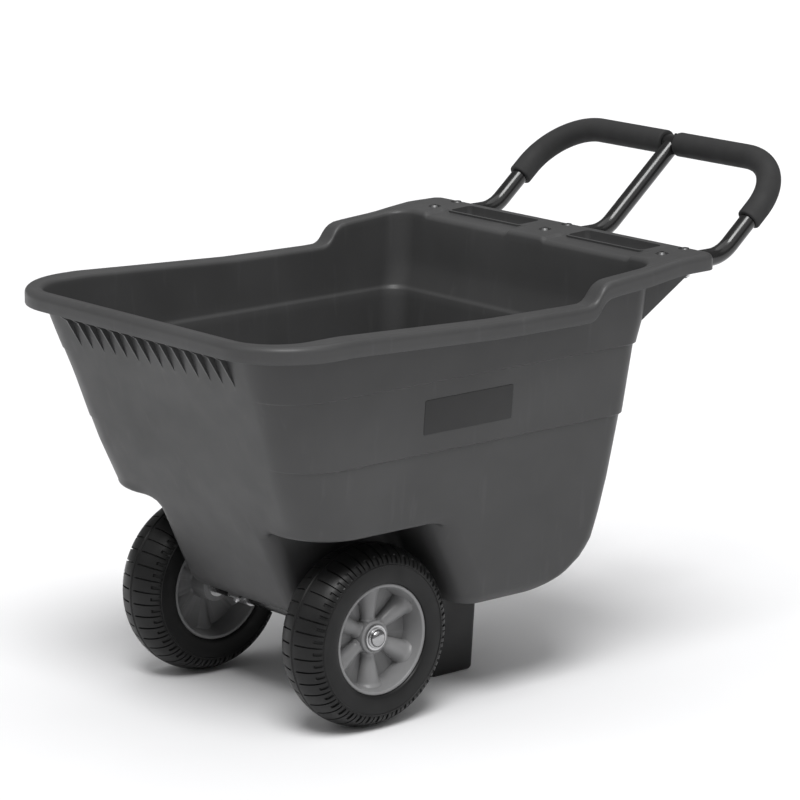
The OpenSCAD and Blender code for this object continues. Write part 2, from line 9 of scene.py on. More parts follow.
import bmesh
import bpy
import numpy as np
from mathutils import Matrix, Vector


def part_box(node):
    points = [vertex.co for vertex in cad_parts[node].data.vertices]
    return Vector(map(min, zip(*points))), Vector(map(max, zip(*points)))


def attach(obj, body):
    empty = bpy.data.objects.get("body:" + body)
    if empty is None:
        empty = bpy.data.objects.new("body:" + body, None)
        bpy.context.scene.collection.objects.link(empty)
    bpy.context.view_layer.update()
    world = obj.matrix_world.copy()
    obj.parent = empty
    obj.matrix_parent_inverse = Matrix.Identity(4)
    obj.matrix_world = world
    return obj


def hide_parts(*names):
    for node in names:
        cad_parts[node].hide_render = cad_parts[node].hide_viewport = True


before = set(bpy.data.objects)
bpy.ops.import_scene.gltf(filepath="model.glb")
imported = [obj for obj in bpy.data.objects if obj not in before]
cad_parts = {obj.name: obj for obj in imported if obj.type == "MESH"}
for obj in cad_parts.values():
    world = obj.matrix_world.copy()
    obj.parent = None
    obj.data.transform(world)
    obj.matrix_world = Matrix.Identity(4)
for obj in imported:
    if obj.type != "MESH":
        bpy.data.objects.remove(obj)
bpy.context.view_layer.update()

MM = 1000.0

# ---- Places taken from the frame, in millimetres ----
tub_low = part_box("tub")[0] * MM
axle_low, axle_high = (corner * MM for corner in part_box("axle"))
tyre_low, tyre_high = (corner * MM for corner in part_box("tyre_right"))
grip_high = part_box("grip_right")[1] * MM
foot_low, foot_high = (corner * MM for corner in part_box("rear_foot"))
label_low, label_high = (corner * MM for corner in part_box("side_label"))
cap_low, cap_high = (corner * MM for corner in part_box("hub_cap_right"))

FRONT_Y = tub_low.y
AXLE_Y = (axle_low.y + axle_high.y) / 2
AXLE_Z = (axle_low.z + axle_high.z) / 2
WHEEL_X = (tyre_low.x + tyre_high.x) / 2
TYRE_R = (tyre_high.z - tyre_low.z) / 2
TYRE_HALF_W = (tyre_high.x - tyre_low.x) / 2

# ---- Tub: the same driving curves as the CAD, with finer rounding ----
WALL = 4.0
SKIRT_H = 23.0
FLOOR_Z = 142.0
KEEL_HALF = 122.0
ARCH_Z = 277.0
FLOOR_R = 22.0
RIM_FRONT_R = 108.0
WALL_FRONT_R = 68.0
WALL_REAR_R = 34.0
KEEL_R = 24.0
WELL_R = 22.0
NOSE_R = 40.0
RIM_BACK = 791.0
RIM_BACK_R = 18.0
STEP_START = 549.0
STEP_END = 588.0
RIM_ROUND = 9.0
MOUTH_ROUND = 6.0
ARCH_RISE = 12.0
LIP_ROUND = 9.0
CEILING_ROUND = 12.0
# The keel's walls end here. An arch begins where they stand ARCH_GAPS[0] inside the walls above,
# and is fully formed from ARCH_GAPS[1] on.
KEEL_TOP = 262.0
ARCH_GAPS = (8.0, 53.0)
LEDGES = (378.0, 476.0)
LEDGE_OUT = 2.5
LAST_LEVEL = 528.0

RIM_PATH = [(0, 562), (132, 563), (216, 559), (388, 551), (549, 549), (562, 554),
            (575, 572), (588, 578), (660, 583), (700, 588), (729, 591), (791, 591)]
FRONT_PATH = [(142, 191), (194, 165), (285, 123), (347, 97), (440, 66), (508, 39), (600, 5)]
REAR_PATH = [(142, 535), (149, 560), (160, 587), (180, 617), (202, 634), (240, 645), (286, 655),
             (378, 667), (476, 678.5), (509, 688), (600, 696)]
SIDE_PATH = [(142, 223), (277, 236), (378, 248.5), (476, 257.5), (600, 267)]
WELL_PATH = [(150, 388), (175, 379), (200, 366), (225, 352), (250, 338), (277, 326)]
RIM_SIDE_PATH = [(0, 305), (549, 296), (791, 291)]

# Number of points along each stretch of half an outline, from the front middle to the back middle.
N_NOSE = 10
N_SHOULDER = 16
N_CORNER = 26
N_SIDE = 22
N_WELL = 10
N_STEP = 16
N_AFT = 12
N_REAR_CORNER = 14
N_BACK = 84
# Of those, the points on the turn from the keel into the arch and on the turn behind the wheel.
N_INTO_ARCH = 12
N_BEHIND = 14


def at(table, key):
    """The value of a table of (key, value) rows at a key."""
    keys, values = zip(*table)
    return np.interp(key, keys, values)


def smooth_at(table, key, reach=6.0):
    """The same value averaged over a short reach, so that the rows don't show as corners."""
    steps = np.linspace(-reach, reach, 7)
    return np.mean([at(table, np.asarray(key, float) + s) for s in steps], axis=0)


def ease(x):
    """A smooth step from 0 to 1."""
    x = np.clip(x, 0.0, 1.0)
    return x * x * (3 - 2 * x)


def span(p, q, n):
    """n points from p to q, without p."""
    p = np.asarray(p, float)
    return p + (np.asarray(q, float) - p) * np.linspace(0, 1, n + 1)[1:, None]


def turn(centre, radius, a0, a1, n):
    """n points on an arc, without its first point."""
    a = np.radians(np.linspace(a0, a1, n + 1)[1:])
    return np.asarray(centre, float) + radius * np.stack([np.cos(a), np.sin(a)], 1)


def ledge(z, inside):
    """How far the two steps of the wall stand out at a height; softer on the inside."""
    low, high = (-3.0, 4.0) if inside else (-0.6, 1.6)
    return sum(LEDGE_OUT * ease((z - level - low) / (high - low)) for level in LEDGES)


def wall_numbers(z, off):
    """Front, rear and half width of the walls at a height, drawn in by off."""
    out = ledge(z, off > 0)
    front = smooth_at(FRONT_PATH, z) + off
    rear = smooth_at(REAR_PATH, z, 4.0) + out - off
    side = at(SIDE_PATH, z) + out - off
    return front, rear, side


def walls_half(z, off):
    """Half of a level outline of the walls above the wheels."""
    f, b, s = wall_numbers(z, off)
    rf = WALL_FRONT_R - off
    rb = max(WALL_REAR_R - off, 6)
    kx = KEEL_HALF - KEEL_R
    m = at(WELL_PATH, z) + NOSE_R
    return np.concatenate([
        [[0, f]],
        span((0, f), (kx, f), N_NOSE),
        span((kx, f), (s - rf, f), N_SHOULDER),
        turn((s - rf, f + rf), rf, -90, 0, N_CORNER),
        span((s, f + rf), (s, m), N_SIDE),
        span((s, m), (s, STEP_START), N_WELL),
        span((s, STEP_START), (s, STEP_END), N_STEP),
        span((s, STEP_END), (s, b - rb), N_AFT),
        turn((s - rb, b - rb), rb, 0, 90, N_REAR_CORNER),
        span((s - rb, b), (0, b), N_BACK)])


def keel_half(z, off):
    """Half of a level outline below the wheel arches, where the front is the narrow keel."""
    f, b, s = wall_numbers(z, off)
    k = KEEL_HALF - off
    w = smooth_at(WELL_PATH, z, 4.0) + off
    rb = max(WALL_REAR_R - off, 6)
    rk = max(KEEL_R - off, 3)
    ri = WELL_R + off
    rn = max(NOSE_R - off, 3)
    # Low down, the rear wall lies ahead of the rim's step, so these points move forward with it.
    d0 = min(STEP_START, b - rb - 24)
    d1 = min(STEP_END, b - rb - 12)
    return np.concatenate([
        [[0, f]],
        span((0, f), (k - rk, f), N_NOSE),
        turn((k - rk, f + rk), rk, -90, 0, N_SHOULDER),
        span((k, f + rk), (k, w - ri), N_CORNER - N_INTO_ARCH),
        turn((k + ri, w - ri), ri, 180, 90, N_INTO_ARCH),
        span((k + ri, w), (s - rn, w), N_SIDE - N_BEHIND),
        turn((s - rn, w + rn), rn, -90, 0, N_BEHIND),
        span((s, w + rn), (s, d0), N_WELL),
        span((s, d0), (s, d1), N_STEP),
        span((s, d1), (s, b - rb), N_AFT),
        turn((s - rb, b - rb), rb, 0, 90, N_REAR_CORNER),
        span((s - rb, b), (0, b), N_BACK)])


def rim_half(off):
    """Half of the rim's outer edge, drawn in by off."""
    s0 = at(RIM_SIDE_PATH, RIM_FRONT_R) - off
    rf = RIM_FRONT_R - off
    m = at(WELL_PATH, ARCH_Z) + NOSE_R
    kx = KEEL_HALF - KEEL_R
    rb = max(RIM_BACK_R - off, 2)
    s3 = at(RIM_SIDE_PATH, RIM_BACK) - off
    side = [(at(RIM_SIDE_PATH, d) - off, d) for d in (m, STEP_START, STEP_END)]
    return np.concatenate([
        [[0, off]],
        span((0, off), (kx, off), N_NOSE),
        span((kx, off), (s0 - rf, off), N_SHOULDER),
        turn((s0 - rf, RIM_FRONT_R), rf, -90, 0, N_CORNER),
        span((s0, RIM_FRONT_R), side[0], N_SIDE),
        span(side[0], side[1], N_WELL),
        span(side[1], side[2], N_STEP),
        span(side[2], (s3, RIM_BACK - RIM_BACK_R), N_AFT),
        turn((s3 - rb, RIM_BACK - off - rb), rb, 0, 90, N_REAR_CORNER),
        span((s3 - rb, RIM_BACK - off), (0, RIM_BACK - off), N_BACK)])


def rim_top(d):
    """Height of the rim's top at a distance behind the front edge."""
    return smooth_at(RIM_PATH, d, 5.0)


def ring(half, heights):
    """Half an outline with heights, as points in the cart's frame."""
    heights = np.broadcast_to(np.asarray(heights, float), len(half))
    return np.column_stack([half[:, 0], FRONT_Y + half[:, 1], heights])


def floor_part(off):
    """The rounding between floor and walls, from the floor upwards."""
    rings = []
    for a in np.radians(np.linspace(0, 90, 9)):
        z = FLOOR_Z + FLOOR_R * (1 - math.cos(a))
        rings.append(ring(keel_half(z, off + FLOOR_R * (1 - math.sin(a))), z + off))
    return rings


def arch_part(off):
    """The walls of the keel, then the ceiling of the wheel arches out to their rounded lip."""
    rings = [ring(keel_half(z, off), z + 0.6 * off) for z in (170, 180, 192, 204, 216, 228, 240, 251)]
    low = keel_half(KEEL_TOP, off)
    high = keel_half(ARCH_Z, off)
    lip = walls_half(ARCH_Z + LIP_ROUND, off)
    gap = np.linalg.norm(lip - high, axis=1)
    arch = ease((gap - ARCH_GAPS[0]) / (ARCH_GAPS[1] - ARCH_GAPS[0]))
    inner = low + (high - low) * arch[:, None]
    gap = np.maximum(np.linalg.norm(lip - inner, axis=1), 1e-3)
    ceiling = ARCH_Z + ARCH_RISE * arch
    # Distances from the keel and from the lip, drawn together where the gap is too small for both.
    near = [0, 0.6, 2, 4, 6.5, 9, CEILING_ROUND]
    far = [30, 24, 19, 14, LIP_ROUND, 6.5, 4.5, 2.7, 1.3, 0.4, 0]
    scale = np.minimum(1, gap / 60)
    places = [s * scale for s in near] + [gap - e * scale for e in far]
    for number, place in enumerate(places):
        share = number / (len(places) - 1)
        place = place * arch + share * gap * (1 - arch)
        from_lip = gap - place
        fillet = np.clip(CEILING_ROUND - place, 0, CEILING_ROUND)
        roof = ceiling - CEILING_ROUND + np.sqrt(CEILING_ROUND ** 2 - fillet ** 2)
        edge = np.clip(LIP_ROUND - from_lip, 0, LIP_ROUND)
        rounding = ARCH_Z + LIP_ROUND - np.sqrt(LIP_ROUND ** 2 - edge ** 2)
        rise = ARCH_Z + (ceiling - ARCH_Z) * ease((from_lip - LIP_ROUND) / 20)
        arched = np.where(from_lip < LIP_ROUND, rounding, np.minimum(rise, roof))
        plain = KEEL_TOP + (ARCH_Z + LIP_ROUND - KEEL_TOP) * share
        z = plain + (arched - plain) * arch
        plan = inner + (lip - inner) * (place / gap)[:, None]
        rings.append(ring(plan, z + (0.6 + 0.4 * arch) * off))
    return rings


def wall_part(off):
    """The walls above the arches, up to just below the rim."""
    near_ledge = [level + s for level in LEDGES for s in (-3, -1.2, -0.4, 0.2, 0.8, 1.6, 2.8, 5)]
    between = [293, 302, 316, 332, 348, 362, 394, 412, 430, 448, 462, 492, 504, 516, LAST_LEVEL]
    return [ring(walls_half(z, off), z) for z in sorted(near_ledge + between)]


def mouth_ring(off, drop, share=1.0):
    """A ring of the wall, a share of the way from its last level ring to drop below the rim's top."""
    top = rim_top(walls_half(560, off)[:, 1]) - drop
    heights = LAST_LEVEL + (top - LAST_LEVEL) * share
    rows = np.array([walls_half(z, off)[i] for i, z in enumerate(heights)])
    return ring(rows, heights)


def rim_ring(off, drop):
    """A ring of the rim, drawn in by off and drop below its top."""
    half = rim_half(off)
    return ring(half, rim_top(half[:, 1]) - drop)


def arc_pairs(radius, n):
    """(across, down) pairs along a quarter round from a vertical face to a flat top."""
    angles = np.radians(np.linspace(0, 90, n + 1))
    return [(radius * (1 - math.cos(a)), radius * (1 - math.sin(a))) for a in angles]


def between_rings(first, last, n):
    """n rings evenly spaced between two."""
    return [first + (last - first) * share for share in np.linspace(0, 1, n + 2)[1:-1]]


def rim_part():
    """The rim: its underside, skirt, rounded edge, flat top and rounded inner mouth."""
    under = mouth_ring(0, WALL)
    skirt_top = rim_ring(WALL, WALL)
    edge = SKIRT_H - 1.2
    rings = [under, *between_rings(under, skirt_top, 3), skirt_top]
    rings += [rim_ring(WALL, drop) for drop in (9, 15, edge)]
    rings += [rim_ring(WALL - across, edge + down) for across, down in ((0.4, 0.9), (1.2, 1.2))]
    rings += [rim_ring(1.2, SKIRT_H), rim_ring(0.4, SKIRT_H - 0.3), rim_ring(0, edge)]
    rings += [rim_ring(0, drop) for drop in (16, 12)]
    rings += [rim_ring(across, down) for across, down in arc_pairs(RIM_ROUND, 8)]
    inner = mouth_ring(WALL - MOUTH_ROUND, 0)
    rings += between_rings(rings[-1], inner, 16)
    for across, down in reversed(arc_pairs(MOUTH_ROUND, 6)):
        rings.append(mouth_ring(WALL - across, down))
    return rings


TROUGH_X = (34.0, 216.0)
TROUGH_END = 733.5
TROUGH_DEEP = 4.0


def trough(points):
    """Lowers the rear flange between its bolt pads, from the mouth to the front of the pockets."""
    x = np.abs(points[:, 0])
    d = points[:, 1] - FRONT_Y
    across = ease((x - TROUGH_X[0]) / 7) * ease((TROUGH_X[1] - x) / 7)
    along = ease((TROUGH_END - d) / 5)
    on_flange = (points[:, 2] > 573) & (d > 680)
    points[:, 2] -= np.where(on_flange, TROUGH_DEEP * across * along, 0.0)
    return points


# ---- Making meshes ----
def new_object(name, mesh):
    """An object in the scene."""
    made = bpy.data.objects.new(name, mesh)
    bpy.context.scene.collection.objects.link(made)
    return made


def mesh_object(name, points, faces):
    """An object from points in millimetres, with its faces turned outward."""
    mesh = bpy.data.meshes.new(name)
    mesh.from_pydata((np.asarray(points, float) / MM).tolist(), [], faces)
    work = bmesh.new()
    work.from_mesh(mesh)
    bmesh.ops.remove_doubles(work, verts=work.verts, dist=1e-6)
    bmesh.ops.recalc_face_normals(work, faces=work.faces)
    work.to_mesh(mesh)
    work.free()
    return new_object(name, mesh)


def joined(name, parts):
    """Several objects as one mesh; the parts are used up."""
    work = bmesh.new()
    for part in parts:
        work.from_mesh(part.data)
        bpy.data.objects.remove(part)
    mesh = bpy.data.meshes.new(name)
    work.to_mesh(mesh)
    work.free()
    return new_object(name, mesh)


def boolean(target, other, operation):
    """Adds other to target or takes it away; other is used up."""
    modifier = target.modifiers.new("boolean", "BOOLEAN")
    modifier.operation = operation
    modifier.solver = "MANIFOLD"
    modifier.object = other
    graph = bpy.context.evaluated_depsgraph_get()
    mesh = bpy.data.meshes.new_from_object(target.evaluated_get(graph))
    target.modifiers.clear()
    target.data = mesh
    bpy.data.objects.remove(other)
    return target


def shade(piece, angle=32):
    """Smooth shading with sharp edges where faces meet at more than an angle."""
    for polygon in piece.data.polygons:
        polygon.use_smooth = True
    piece.data.set_sharp_from_angle(angle=math.radians(angle))
    return piece


def dress(piece, material, body, slot, *nodes):
    """Gives a piece its material and body, and hides the CAD nodes that it stands for."""
    piece.data.materials.clear()
    piece.data.materials.append(material)
    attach(piece, body)
    if nodes:
        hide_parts(*nodes)
    return piece


def grid_faces(rows, columns, close_rows=False):
    """Quads over a grid of points whose columns close on themselves."""
    faces = []
    last = rows if close_rows else rows - 1
    for r in range(last):
        s = (r + 1) % rows
        for c in range(columns):
            n = (c + 1) % columns
            faces.append([r * columns + c, r * columns + n, s * columns + n, s * columns + c])
    return faces


def extruded(name, outline, x0, x1):
    """A prism of an outline of (d, z) points between two places along X."""
    count = len(outline)
    points = [(x, FRONT_Y + d, z) for x in (x0, x1) for d, z in outline]
    faces = [list(range(count)), list(range(2 * count - 1, count - 1, -1))]
    faces += [[i, (i + 1) % count, count + (i + 1) % count, count + i] for i in range(count)]
    return mesh_object(name, points, faces)


def rounded_rectangle(half_x, half_y, radius, steps=6):
    """A level outline with round corners, about the origin."""
    points = []
    for corner, (sx, sy) in enumerate(((1, 1), (-1, 1), (-1, -1), (1, -1))):
        for a in np.radians(np.linspace(0, 90, steps + 1) + 90 * corner):
            points.append((sx * (half_x - radius) + radius * math.cos(a),
                           sy * (half_y - radius) + radius * math.sin(a)))
    return np.array(points)


def capped_stack(name, rings):
    """A closed solid from a stack of rings with the same number of points."""
    count = len(rings[0])
    faces = grid_faces(len(rings), count)
    faces.append(list(range(count)))
    start = (len(rings) - 1) * count
    faces.append(list(range(start, start + count)))
    return mesh_object(name, np.concatenate(rings), faces)


def spun(name, outline, side, sides=96, middle=0.0):
    """A closed outline of (radius, distance along X) spun round the axle's line."""
    outline = np.asarray(outline, float)
    angles = np.linspace(0, 2 * math.pi, sides, endpoint=False)
    rows = []
    for a in angles:
        rows.append(np.column_stack([side * (middle + outline[:, 1]),
                                     AXLE_Y + outline[:, 0] * math.sin(a),
                                     AXLE_Z + outline[:, 0] * math.cos(a)]))
    return mesh_object(name, np.concatenate(rows), grid_faces(sides, len(outline), close_rows=True))


def upright_round(name, x, y, outline, sides=40):
    """A solid of (radius, height) points spun about an upright line."""
    rings = []
    for radius, z in outline:
        a = np.linspace(0, 2 * math.pi, sides, endpoint=False)
        rings.append(np.column_stack([x + radius * np.cos(a), y + radius * np.sin(a), np.full(sides, z)]))
    return capped_stack(name, rings)


# ---- Tub ----
LEG_X = 237.0
BOLT_X = (-LEG_X, 0.0, LEG_X)
BOLT_D = (736.0, 780.0)
TUBE_Z = 572.0
TUBE_R = 12.5
FLANGE_TOP = 591.0
RIB_COUNT = 14
RIB_PITCH = 25.5
RIB_HALF = 1.25
GUSSET_X = (-252, -222, -15, 15, 222, 252)
GUSSET_LOW = 505.0
GUSSET_HALF = 1.75
# A pocket's middle, its half sizes, its depth and the thickness of the shell round it.
POCKET_X, POCKET_D = 125.0, 753.0
POCKET_HALF_X, POCKET_HALF_D = 75.0, 19.0
POCKET_DEEP = 16.0
POCKET_SHELL = 3.5
BOSS_R = 13.0
BOLT_HOLE_R = 4.25
NOTCH_GAP = 0.7
SADDLE_X, SADDLE_HALF = 75.0, 12.0
SADDLE_BORE_R = 10.1


def rib(x):
    """A rib under the nose's rim, from the skirt down to the wall."""
    low, high = 482.0, FLANGE_TOP - 34
    edge = WALL - 1
    outline = [(at(FRONT_PATH, low) + 2, low), (22, 529), (9, 537), (edge, 543), (edge, high),
               (at(FRONT_PATH, high) + 2, high)]
    return extruded("rib", outline, x - RIB_HALF, x + RIB_HALF)


def wall_back(x, z):
    """Distance behind the front edge of the rear wall's outer face, round its corner as well."""
    rear, half = wall_numbers(z, 0)[1:]
    round_in = max(abs(x) - (half - WALL_REAR_R), 0)
    return rear - WALL_REAR_R + math.sqrt(WALL_REAR_R ** 2 - round_in ** 2)


def gusset(x):
    """A web under the flange, from the rear wall out to the flange's edge."""
    top = FLANGE_TOP - 3
    start = wall_back(x, GUSSET_LOW) - 2
    end = wall_back(x, top - 8) - 2
    outline = [(start, GUSSET_LOW), (786, 567), (786, top), (730, top), (end, top - 5)]
    return extruded("gusset", outline, x - GUSSET_HALF, x + GUSSET_HALF)


def pocket(side, grow, top):
    """The space of a pocket in the rear flange, grown on all sides but the top."""
    half_x, half_d = POCKET_HALF_X + grow, POCKET_HALF_D + grow
    outline = rounded_rectangle(half_x, half_d, 7 + grow * 0.5)
    bottom = FLANGE_TOP - POCKET_DEEP - grow
    rings = []
    for inset, z in ((3.5, bottom), (1.0, bottom + 1.2), (0, bottom + 3.5), (-0.8, top)):
        plan = outline * [1 - inset / half_x, 1 - inset / half_d]
        rings.append(np.column_stack([plan[:, 0] + side * POCKET_X, plan[:, 1] + FRONT_Y + POCKET_D,
                                      np.full(len(plan), z)]))
    return capped_stack("pocket", rings)


def tub_additions():
    """Ribs, gussets, pocket shells, bolt bosses and saddles, all under the moulding."""
    parts = [rib((i - (RIB_COUNT - 1) / 2) * RIB_PITCH) for i in range(RIB_COUNT)]
    parts += [gusset(x) for x in GUSSET_X]
    parts += [pocket(side, POCKET_SHELL, FLANGE_TOP - 2.2) for side in (-1, 1)]
    boss = ((BOSS_R - 0.4, 584.6), (BOSS_R, 585.2), (BOSS_R, 588.4))
    parts += [upright_round("boss", x, FRONT_Y + d, boss) for x in BOLT_X for d in BOLT_D]
    saddle = [(230, 128), (278, 128), (278, 144), (230, 144)]
    for x in (-SADDLE_X, SADDLE_X):
        parts.append(extruded("saddle", saddle, x - SADDLE_HALF, x + SADDLE_HALF))
    return joined("additions", parts)


def lengthwise_round(name, radius, middle_a, middle_b, across):
    """A rod between two middles; across gives the two directions that its round lies in."""
    angles = np.linspace(0, 2 * math.pi, 48, endpoint=False)
    circle = radius * (np.outer(np.cos(angles), across[0]) + np.outer(np.sin(angles), across[1]))
    return capped_stack(name, [np.array(middle) + circle for middle in (middle_a, middle_b)])


def tub_cutters():
    """Pockets, bolt recesses with their holes, notches for the tubes and the saddles' bore."""
    parts = [pocket(side, 0, FLANGE_TOP + 2) for side in (-1, 1)]
    steps = ((BOLT_HOLE_R, 580), (BOLT_HOLE_R, 587.9), (8.7, 588), (9.3, 589.5), (9.8, 591.6), (9.8, 594))
    parts += [upright_round("recess", x, FRONT_Y + d, steps) for x in BOLT_X for d in BOLT_D]
    for x in BOLT_X:
        parts.append(lengthwise_round("notch", TUBE_R + NOTCH_GAP, (x, FRONT_Y + 782, TUBE_Z),
                                      (x, FRONT_Y + 800, TUBE_Z), ((1, 0, 0), (0, 0, 1))))
    parts.append(lengthwise_round("saddle_bore", SADDLE_BORE_R, (-100, AXLE_Y, AXLE_Z),
                                  (100, AXLE_Y, AXLE_Z), ((0, 0, 1), (0, 1, 0))))
    return joined("cutters", parts)


def whole_ring(half):
    """Both halves of a ring."""
    mirrored = half[-2:0:-1] * [-1, 1, 1]
    return np.concatenate([half, mirrored])


def make_tub():
    """The whole shell from the floor's outside over the rim to its inside, with what is added and cut."""
    outer = floor_part(0) + arch_part(0) + wall_part(0) + [mouth_ring(0, WALL, s) for s in (0.3, 0.6, 0.85)]
    inner = floor_part(WALL) + arch_part(WALL) + wall_part(WALL)
    inner += [mouth_ring(WALL, MOUTH_ROUND, s) for s in (0.3, 0.6, 0.85)]
    rings = [trough(whole_ring(r)) for r in outer + rim_part() + inner[::-1]]
    # Smaller rings close the flat floor, outside and inside, towards a point near its middle.
    centre = np.array([0, FRONT_Y + 430, 0])
    for place, at_end in ((rings[0], False), (rings[-1], True)):
        for share in (0.7, 0.4, 0.15):
            smaller = centre + (place - centre) * [share, share, 1]
            rings.insert(len(rings) if at_end else 0, smaller)
    tub = capped_stack("tub_shell", rings)
    boolean(tub, tub_additions(), "UNION")
    boolean(tub, tub_cutters(), "DIFFERENCE")
    tub.name = "tub_moulding"
    return shade(tub, 30)


# ---- Wheels ----
TREAD_PITCHES = 42
RING_R = 102.0
SHOULDER_R = RING_R + 1.2
HUB_IN, HUB_OUT = -33.0, 23.0
HUB_R = 22.5
BUSH_R = 9.0
# Phases within one pitch: a thin sipe at 0 and a short wide slot at a half, with smooth rubber between.
SIPE_FLOOR, SIPE_EDGE = 0.035, 0.065
SLOT_FLOOR, SLOT_EDGE = 0.1, 0.135
TREAD_PHASES = (0, SIPE_FLOOR, SIPE_EDGE, 0.12, 0.2, 0.29, 0.5 - SLOT_EDGE, 0.5 - SLOT_FLOOR, 0.45)


def tyre_outline():
    """Rows of (radius, share of half width, sipe depth, slot depth) from the rim's seat to the crown."""
    seat = TYRE_R - 49
    rows = [(seat, 0.90, 0, 0), (seat + 0.8, 0.945, 0, 0), (seat + 2.5, 0.972, 0, 0),
            (seat + 6, 0.99, 0, 0), (seat + 12, 1.0, 0, 0), (seat + 18, 0.998, 0, 0),
            (RING_R - 3, 0.985, 0, 0), (RING_R - 1.2, 0.98, 0, 0), (RING_R - 0.8, 0.998, 0, 0),
            (RING_R, 1.0, 0, 0), (RING_R + 0.8, 0.99, 0, 0), (SHOULDER_R, 0.965, 0, 0)]
    # The shoulder and crown are one smooth curve, where t goes from the ring to the crown.
    for t, sipe, slot in ((0.03, 0, 0), (0.06, 1.2, 1.6), (0.12, 1.9, 2.2), (0.2, 2.4, 2.5), (0.29, 2.7, 2.5),
                          (0.35, 2.8, 2.4), (0.39, 2.8, 0), (0.47, 2.8, 0), (0.56, 2.8, 0), (0.65, 2.8, 0),
                          (0.74, 2.8, 0), (0.82, 2.7, 0), (0.87, 2.5, 0), (0.91, 0, 0), (0.955, 0, 0)):
        a = math.radians(90 * t)
        width = 0.965 * math.cos(a) ** 1.12
        radius = SHOULDER_R + (TYRE_R - SHOULDER_R) * math.sin(a) ** 1.08
        rows.append((radius, width, sipe, slot))
    rows += [(TYRE_R - 0.9, 0.022, 0, 0), (TYRE_R - 1.3, 0.0, 0, 0)]
    return rows


def groove(phase, centre, floor, edge):
    """1 on the floor of a groove, 0 outside its edge, at a phase within the pitch."""
    away = abs((phase - centre + 0.5) % 1.0 - 0.5)
    return float(np.clip((edge - away) / (edge - floor), 0, 1))


def make_tyre(side, name):
    """A tyre whose outline is repeated round the axle, sunk along its normal where a groove runs."""
    rows = tyre_outline()
    half = [(r, w * TYRE_HALF_W, sipe, slot) for r, w, sipe, slot in rows]
    whole = half + [(r, -x, sipe, slot) for r, x, sipe, slot in half[-2::-1]]
    radius, along, sipe, slot = np.array(whole).T
    slope_r, slope_x = np.gradient(radius), np.gradient(along)
    length = np.hypot(slope_r, slope_x)
    normal_r, normal_x = -slope_x / length, slope_r / length
    phases = list(TREAD_PHASES) + [0.5] + [1 - p for p in TREAD_PHASES[:0:-1]]
    rings = []
    for pitch in range(TREAD_PITCHES):
        for phase in phases:
            a = 2 * math.pi * (pitch + phase) / TREAD_PITCHES
            depth = sipe * groove(phase, 0, SIPE_FLOOR, SIPE_EDGE)
            depth = depth + slot * groove(phase, 0.5, SLOT_FLOOR, SLOT_EDGE)
            r = radius - depth * normal_r
            x = along - depth * normal_x
            rings.append(np.column_stack([side * (WHEEL_X + x), AXLE_Y + r * math.sin(a),
                                          AXLE_Z + r * math.cos(a)]))
    faces = grid_faces(len(rings), len(radius), close_rows=True)
    return shade(mesh_object(name, np.concatenate(rings), faces), 40)


def wheel_barrel(side):
    """The ring that carries the tyre, with rounded edges and a waist in its middle."""
    face = [(75.9, 34), (75.9, 36), (75.5, 36.7), (74.8, 37), (72.2, 37), (71.4, 36.6), (71, 35.8),
            (70.7, 34.5), (69.6, 28), (68.4, 20), (67.4, 12), (66.8, 5)]
    return spun("barrel", face + [(r, -x) for r, x in reversed(face)], side, 144, WHEEL_X)


def wheel_hub(side):
    """The hub, rounded at its ends and slightly dished round the cap."""
    face = [(BUSH_R, HUB_IN), (HUB_R - 1.2, HUB_IN), (HUB_R - 0.3, HUB_IN + 0.6), (HUB_R, HUB_IN + 1.6),
            (HUB_R, HUB_OUT - 2.2), (HUB_R - 0.4, HUB_OUT - 0.9), (HUB_R - 1.5, HUB_OUT - 0.1),
            (HUB_R - 2.9, HUB_OUT), (HUB_R - 4.1, HUB_OUT - 0.4), (HUB_R - 4.6, HUB_OUT - 0.8),
            (BUSH_R, HUB_OUT - 0.8)]
    return spun("hub", face, side, 96, WHEEL_X)


WEB_HALF = 2.0
WEB_R = 68.6
SPOKE_COUNT = 6
SPOKE_OUT = 7.0
# Radius of a spoke at the hub and at the barrel, and the distances from the axle where it has them.
SPOKE_R = (8.3, 16.2)
SPOKE_REACH = (22.0, 68.0)


def spoke(side, angle):
    """A cone-like spoke, wide at the rim, with a flare where it meets the hub and the barrel."""
    rings = []
    reach = np.concatenate([np.linspace(15, 30, 12), np.linspace(33, 58, 8), np.linspace(60, 71, 12)])
    hub_r, barrel_r = SPOKE_REACH
    up = np.array([0, math.sin(angle), math.cos(angle)])
    across = np.array([0, math.cos(angle), -math.sin(angle)])
    along = np.array([side, 0, 0])
    for r in reach:
        size = SPOKE_R[0] + (SPOKE_R[1] - SPOKE_R[0]) * (r - hub_r) / (barrel_r - hub_r)
        flare = 3.2 * math.exp(-max(r - hub_r, 0) / 2.2) + 3.4 * math.exp(-max(67.5 - r, 0) / 2.2)
        a = np.linspace(0, 2 * math.pi, 48, endpoint=False)
        centre = np.array([side * (WHEEL_X + SPOKE_OUT), AXLE_Y, AXLE_Z]) + up * r
        rings.append(centre + np.outer((size + flare) * np.cos(a), across)
                     + np.outer((size * 0.98 + flare) * np.sin(a), along))
    return capped_stack("spoke", rings)


def wheel_web(side):
    """The thin wall that closes the wheel between its spokes."""
    face = [(BUSH_R, -WEB_HALF), (WEB_R, -WEB_HALF), (WEB_R, WEB_HALF), (BUSH_R, WEB_HALF)]
    return spun("web", face, side, 96, WHEEL_X)


